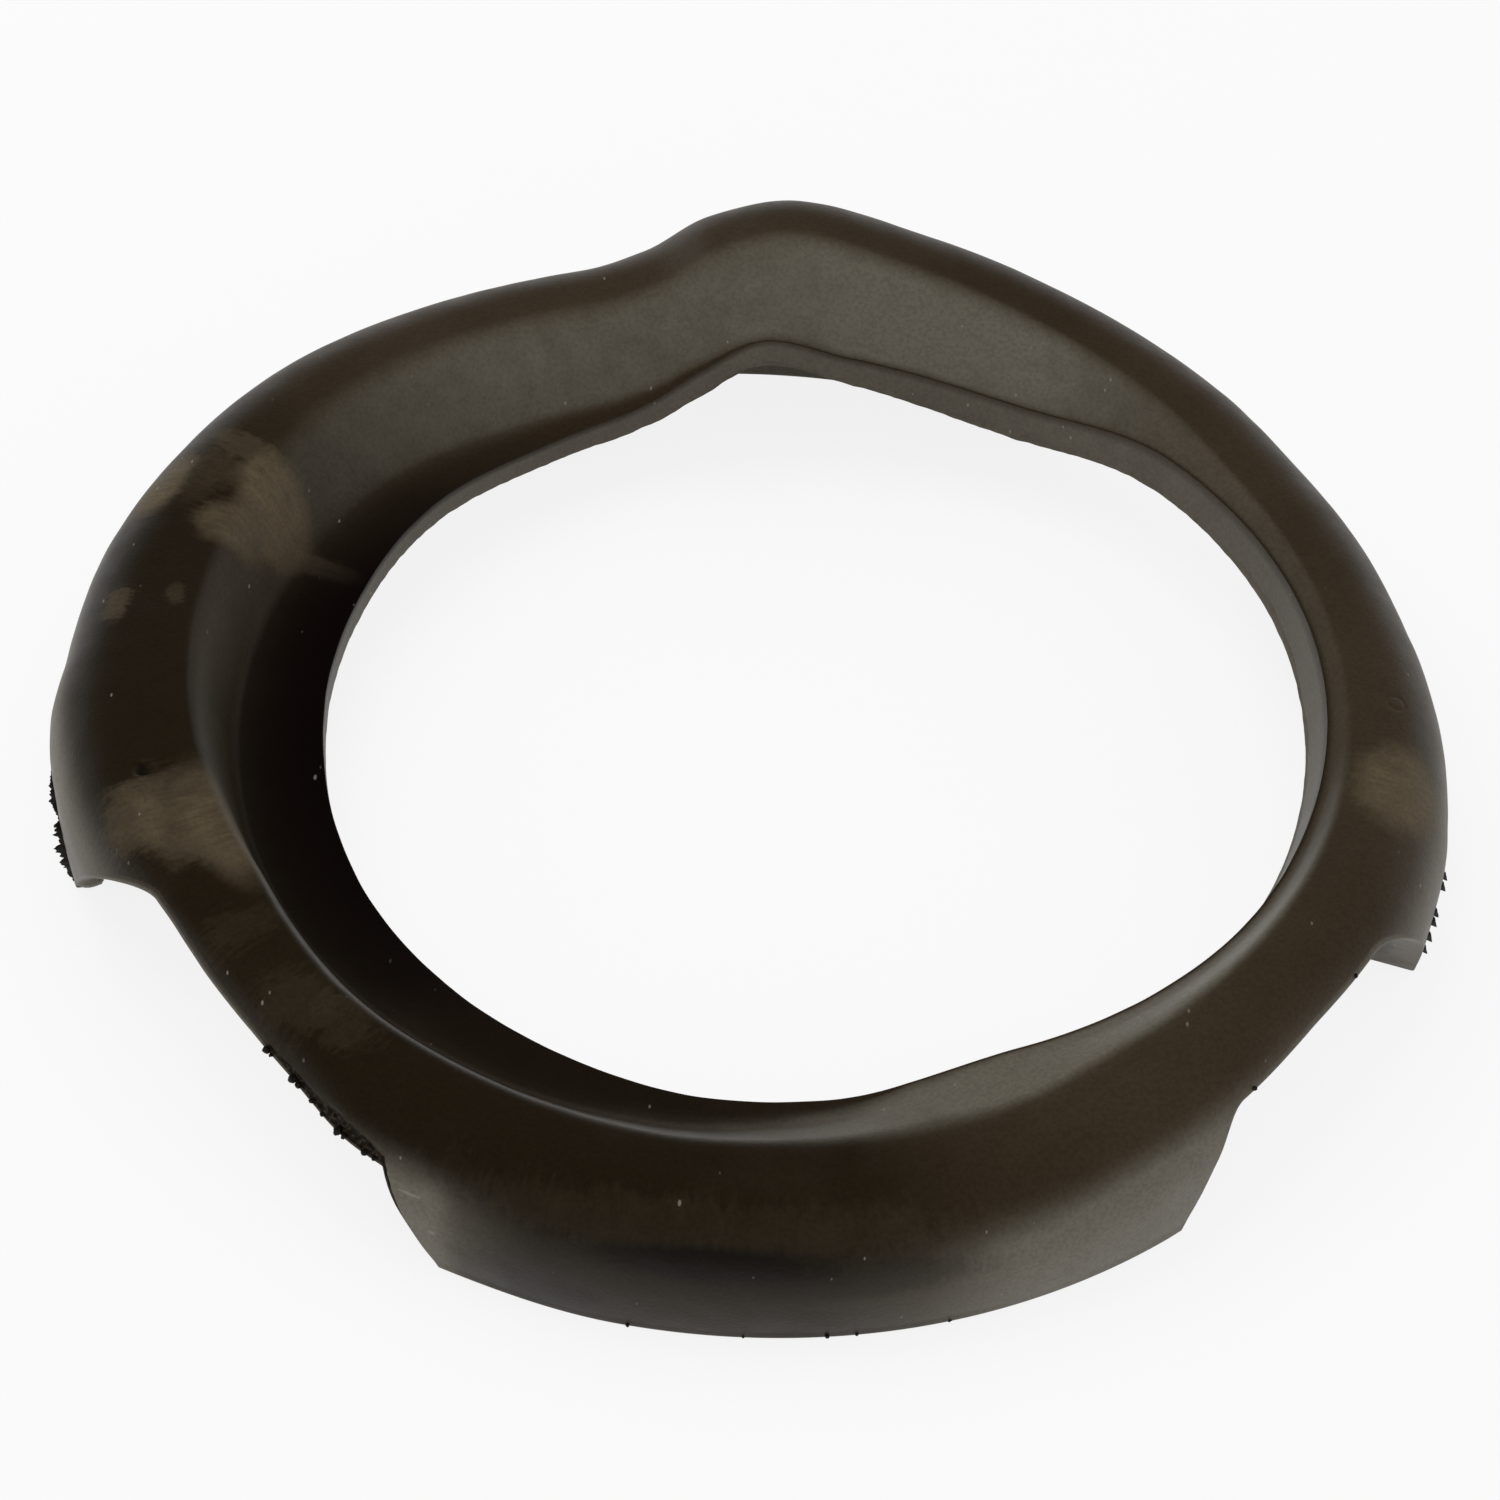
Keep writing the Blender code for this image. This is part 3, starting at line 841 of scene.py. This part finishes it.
def shaken(graph, geometry, size, detail, amount):
    """Move the points by noise with spots of that size in millimetres, so that edges crumble."""
    spots = graph.node("ShaderNodeTexNoise", None, {
        "Vector": graph.node("GeometryNodeInputPosition"), "Scale": 1000 / size,
        "Detail": detail}, "Color")
    offset = graph.scaled(graph.vector("SUBTRACT", spots, (0.5, 0.5, 0.5)), amount)
    return graph.node("GeometryNodeSetPosition", None, {"Geometry": geometry, "Offset": offset})


def grown(name, source, tree, sizes):
    """Run a tree on an object and keep the result as a plain mesh."""
    modifier = source.modifiers.new("tree", "NODES")
    modifier.node_group = tree
    identifiers = {item.name: item.identifier for item in tree.interface.items_tree
                   if item.in_out == "INPUT"}
    for key, value in sizes.items():
        modifier[identifiers[key]] = value
    evaluated = source.evaluated_get(bpy.context.evaluated_depsgraph_get())
    mesh = bpy.data.meshes.new_from_object(evaluated)
    source.modifiers.remove(modifier)
    bpy.data.objects.remove(source)
    mesh.name = name
    piece = bpy.data.objects.new(name, mesh)
    bpy.context.scene.collection.objects.link(piece)
    return piece


def line_object(points, numbers, edges=True):
    """A line or loose points that carry numbers and an outward direction."""
    mesh = bpy.data.meshes.new("line")
    steps = [(index, index + 1) for index in range(len(points) - 1)] if edges else []
    mesh.from_pydata([tuple(point) for point in points], steps, [])
    outward = mesh.attributes.new("outward", "FLOAT_VECTOR", "POINT")
    directions = [Vector((point[0], point[1], 0)).normalized() for point in points]
    outward.data.foreach_set("vector", np.array(directions, np.float32).ravel())
    for key, values in numbers.items():
        layer = mesh.attributes.new(key, "FLOAT", "POINT")
        layer.data.foreach_set("value", np.array(values, np.float32))
    source = bpy.data.objects.new("line", mesh)
    bpy.context.scene.collection.objects.link(source)
    return source


def wall_radius(angle, height):
    """Radius of the skirt's outer face at a height below the shoulder or on it."""
    crown = around(CROWN_HEIGHT, angle) * MM
    inset = around(WAIST, angle) * MM
    wall_top = crown - SHOULDER_DROP
    if height <= wall_top:
        return OUTER_RADIUS - inset - SKIRT_DRAFT * (1 - height / wall_top) ** 2
    turn = math.acos(1 - (crown - height) / SHOULDER_DROP)
    return SHOULDER_RADIUS + (SHOULDER_WIDTH - inset) * math.sin(turn)


def on_wall(angle, height, proud=0.0):
    """A place on the skirt's outer face, or that many millimetres proud of it."""
    turn = math.radians(angle)
    radius = wall_radius(angle, height * MM) + proud * MM
    return Vector((radius * math.cos(turn), radius * math.sin(turn), height * MM))


print("helpers ready")

# %% Grow the flash along a line
FLASH_SPOTS = 0.45           # millimetres, the size of its crumbling
FLASH_SUNK = 0.5             # the line lies this far under the skirt's face, so the tube is rooted


def flash_tree(material):
    graph, wires = new_tree("torn_flash", {
        "Thickness": 0.3 * MM, "Grain": 0.12 * MM, "Crumble": 0.2 * MM})
    curve = graph.node("GeometryNodeMeshToCurve", None, {"Mesh": wires["Geometry"]})
    curve = graph.node("GeometryNodeResampleCurve", {"mode": "LENGTH"}, {
        "Curve": curve, "Length": wires["Grain"]})
    profile = graph.node("GeometryNodeCurvePrimitiveCircle", None, {
        "Resolution": 10, "Radius": wires["Thickness"] * 0.5})
    tube = graph.node("GeometryNodeCurveToMesh", None, {
        "Curve": curve, "Profile Curve": profile, "Fill Caps": True})
    outward = named(graph, "outward", "FLOAT_VECTOR")
    normal = graph.node("GeometryNodeInputNormal")
    facing = graph.node(
        "ShaderNodeVectorMath", {"operation": "DOT_PRODUCT"}, {0: normal, 1: outward}, "Value")
    place = graph.node("GeometryNodeInputPosition")
    ragged = graph.clouds(place, 0.9, 3.0, 0.7).step(0.3, 0.68)
    reach = named(graph, "reach") * facing.step(0.0, 1.0) * (ragged * 0.9 + 0.25)
    drawn = graph.scaled(outward, reach)
    tube = graph.node("GeometryNodeSetPosition", None, {"Geometry": tube, "Offset": drawn})
    end_tree(graph, shaken(graph, tube, FLASH_SPOTS, 2.0, wires["Crumble"]), material)
    return graph.tree


# Angle, height and reach in millimetres, from the thin fringe down to the left lobe's foot
LEFT_FLASH = (
    (178.0, 14.6, 0.0), (183.0, 14.4, 0.05), (187.0, 13.4, 0.1), (189.4, 12.0, 0.3),
    (190.2, 11.2, 0.8), (190.7, 10.3, 0.9), (191.0, 8.9, 0.95), (191.9, 8.4, 0.4),
    (193.0, 8.9, 0.4), (193.8, 8.3, 1.9), (194.1, 7.2, 2.0), (194.4, 6.2, 1.5), (194.7, 5.0, 1.6),
    (194.9, 3.6, 1.2), (195.0, 2.0, 0.6), (195.1, 0.5, 0.3),
)
left_line = line_object(
    [on_wall(angle, height, -FLASH_SUNK) for angle, height, _ in LEFT_FLASH],
    {"reach": [reach * MM for *_, reach in LEFT_FLASH]})
left_flash = grown("left_lobe_flash", left_line, flash_tree(flash_black),
                   {"Thickness": 0.5 * MM, "Grain": 0.12 * MM, "Crumble": 0.35 * MM})
print("flash on the left lobe:", len(left_flash.data.polygons), "faces")

# %% [markdown]
# ## Teeth and nibs
# On the right lobe the flash broke into a row of small teeth. Elsewhere single nibs and crumbs are
# left on the edges. All are copies of one small rough shape, set on points with a size and a random
# turn, so a second tree places them. The seed is fixed, so they come out the same each time.


# %% Set copies on points
HOOK = (0.0, 0.0, -1.1)      # added to a tooth's outward direction, so that it hooks down
ANY_TURN = (6.28, 6.28, 6.28)
COPY_SPOTS = 0.5             # millimetres, the size of their roughness
TOOTH_SUNK = 0.4             # millimetres that a tooth's middle lies under the skirt's face
CRUMB_LIFT = 0.35            # millimetres that a crumb lies above the edge


def copies_tree(name, material, pointed, seed):
    graph, wires = new_tree(name, {"Roughness": 0.1 * MM})
    points = graph.node("GeometryNodeMeshToPoints", None, {"Mesh": wires["Geometry"]})
    if pointed:
        shape = graph.node("GeometryNodeMeshCone", None, {
            "Vertices": 7, "Side Segments": 5, "Radius Top": 0.04, "Radius Bottom": 0.5,
            "Depth": 1.0}, "Mesh")
        hooked = graph.vector("ADD", named(graph, "outward", "FLOAT_VECTOR"), HOOK)
        turn = graph.node("FunctionNodeAlignRotationToVector", {"axis": "Z"}, {"Vector": hooked})
    else:
        shape = graph.node(
            "GeometryNodeMeshIcoSphere", None, {"Radius": 0.5, "Subdivisions": 3}, "Mesh")
        turn = graph.node("FunctionNodeRandomValue", {"data_type": "FLOAT_VECTOR"}, {
            0: (0, 0, 0), 1: ANY_TURN, "Seed": seed})
    copies = graph.node("GeometryNodeInstanceOnPoints", None, {
        "Points": points, "Instance": shape, "Rotation": turn, "Scale": named(graph, "size")})
    real = graph.node("GeometryNodeRealizeInstances", None, {"Geometry": copies})
    end_tree(graph, shaken(graph, real, COPY_SPOTS, 3.0, wires["Roughness"]), material)
    return graph.tree


# Angle, height and size in millimetres
RIGHT_TEETH = (
    (346.9, 10.4, 1.1), (346.2, 9.7, 1.25), (342.8, 10.3, 1.2), (342.6, 9.0, 1.3),
    (342.2, 7.0, 1.3), (341.9, 5.2, 1.15),
)
teeth_points = line_object(
    [on_wall(angle, height, -TOOTH_SUNK) for angle, height, _ in RIGHT_TEETH],
    {"size": [size * MM for *_, size in RIGHT_TEETH]}, edges=False)
right_teeth = grown("right_lobe_teeth", teeth_points, copies_tree("teeth", flash_black, True, 3),
                    {"Roughness": 0.2 * MM})

# Angle and size: crumbs on the torn edge, nibs on the right arch and along the front lobe's foot
CRUMBS = (
    (229.3, 0.9), (229.9, 0.5), (232.6, 1.0), (233.3, 0.7), (235.0, 0.5), (236.4, 0.6),
    (238.2, 1.0), (238.9, 0.6), (240.9, 0.8), (241.8, 0.5), (314.2, 0.5), (328.4, 0.5),
    (262.8, 0.5), (271.4, 0.4), (277.7, 0.6), (279.9, 0.45), (287.0, 0.4),
)


def above_edge(angle):
    """A place a little above the skirt's lower edge."""
    height = skirt_edge(angle, around(CROWN_HEIGHT, angle) * MM) / MM
    return on_wall(angle, height + CRUMB_LIFT)


crumb_points = line_object([above_edge(angle) for angle, _ in CRUMBS],
                           {"size": [size * MM for _, size in CRUMBS]}, edges=False)
edge_crumbs = grown("edge_crumbs", crumb_points, copies_tree("crumbs", flash_black, False, 8),
                    {"Roughness": 0.5 * MM})
print("faces: teeth", len(right_teeth.data.polygons), "crumbs", len(edge_crumbs.data.polygons))

# %% [markdown]
# ## Floor, background and light
# The floor is white and keeps the ring's soft shadow. Light Path tells which ray asks: what the
# camera sees beyond the floor is plain white, and shiny surfaces see a bright low horizon under a
# darker room, as in a small photo studio. That is what makes dark rubber show grey along its edges.

# %% Make the floor
FLOOR_SIZE = 3.0
FLOOR_DROP = 0.1 * MM        # so that it doesn't cut the ring's feet
FLOOR_PAPER = (0.9, 0.9, 0.9, 1.0)
FLOOR_GLOW = 0.85            # how much of its white the camera and shiny surfaces see as plain glow
WHITE = (1.0, 1.0, 1.0, 1.0)


def make_floor():
    mesh = bpy.data.meshes.new("floor")
    half = FLOOR_SIZE / 2
    corners = ((-half, -half), (half, -half), (half, half), (-half, half))
    mesh.from_pydata([(x, y, -FLOOR_DROP) for x, y in corners], [], [(0, 1, 2, 3)])
    floor = bpy.data.objects.new("floor", mesh)
    bpy.context.scene.collection.objects.link(floor)
    material = bpy.data.materials.new("white_floor")
    material.use_nodes = True
    graph = Graph(material.node_tree)
    rays = graph.node("ShaderNodeLightPath").socket.node.outputs
    seen = Wire(graph, rays["Is Camera Ray"])
    for kind in ("Is Glossy Ray", "Is Transmission Ray"):
        seen = seen.larger(Wire(graph, rays[kind]))
    paper = graph.node("ShaderNodeBsdfDiffuse", None, {"Color": FLOOR_PAPER})
    glow = graph.node("ShaderNodeEmission", None, {"Color": WHITE, "Strength": 1.0})
    mixed = graph.node("ShaderNodeMixShader", None, {0: seen * FLOOR_GLOW, 1: paper, 2: glow})
    graph.node("ShaderNodeOutputMaterial", None, {"Surface": mixed}, None)
    mesh.materials.append(material)
    return floor


make_floor()

# %% Light the room
ROOM_LIGHT = 0.50            # light from overhead, and from the white walls low down
WALL_LIGHT = 1.40
WALL_EDGE = (0.60, 0.10)     # the walls' light grows between these heights of view, 1 is overhead
HORIZON_GLOSS = 1.0          # what shiny surfaces see low down, and overhead
OVERHEAD_GLOSS = 0.03
HORIZON_EDGE = (0.40, 0.0)
FRONT_GLOSS = 0.03           # and behind the camera
FRONT_EDGE = (0.35, 0.85)
LAMP_PLACE = (-0.20, 0.12, 0.62)
LAMP_SIZE = 0.5
LAMP_POWER = 1.2


def light_room():
    world = bpy.data.worlds.new("studio")
    bpy.context.scene.world = world
    world.use_nodes = True
    graph = Graph(world.node_tree)
    direction = graph.node("ShaderNodeTexCoord", output="Generated")
    parts = graph.node("ShaderNodeSeparateXYZ", None, {0: direction})
    upward = Wire(graph, parts.socket.node.outputs["Z"])
    backward = Wire(graph, parts.socket.node.outputs["Y"])
    low = upward.step(*HORIZON_EDGE)
    even = ROOM_LIGHT + upward.step(*WALL_EDGE) * (WALL_LIGHT - ROOM_LIGHT)
    front = (backward * -1).step(*FRONT_EDGE)
    gloss = OVERHEAD_GLOSS + low * (HORIZON_GLOSS - OVERHEAD_GLOSS)
    gloss = gloss * (1 - front) + front * FRONT_GLOSS
    rays = graph.node("ShaderNodeLightPath").socket.node.outputs
    camera = Wire(graph, rays["Is Camera Ray"])
    shiny = Wire(graph, rays["Is Glossy Ray"]).larger(Wire(graph, rays["Is Transmission Ray"]))
    strength = (1 - shiny) * even + shiny * gloss
    strength = strength * (1 - camera) + camera
    background = graph.node("ShaderNodeBackground", None, {
        "Color": WHITE, "Strength": strength})
    graph.node("ShaderNodeOutputWorld", None, {"Surface": background}, None)

    data = bpy.data.lights.new("soft_box", "AREA")
    data.size = LAMP_SIZE
    data.energy = LAMP_POWER
    lamp = bpy.data.objects.new("soft_box", data)
    bpy.context.scene.collection.objects.link(lamp)
    lamp.location = LAMP_PLACE
    lamp.rotation_euler = Vector(LAMP_PLACE).to_track_quat("Z", "Y").to_euler()
    lamp.visible_glossy = False


light_room()
bpy.context.scene.view_settings.view_transform = "Standard"
print("room lit")

# %% [markdown]
# ## Join it to the part
# Every piece rides on the part's one body. The detailed ring stands for the plain one, which stays
# behind it for collisions.

# %% Ride on the body and finish
for piece in (ring, left_flash, right_teeth, edge_crumbs):
    for polygon in piece.data.polygons:
        polygon.use_smooth = True
    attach(piece, "root")
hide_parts("coil_spring_insulator")
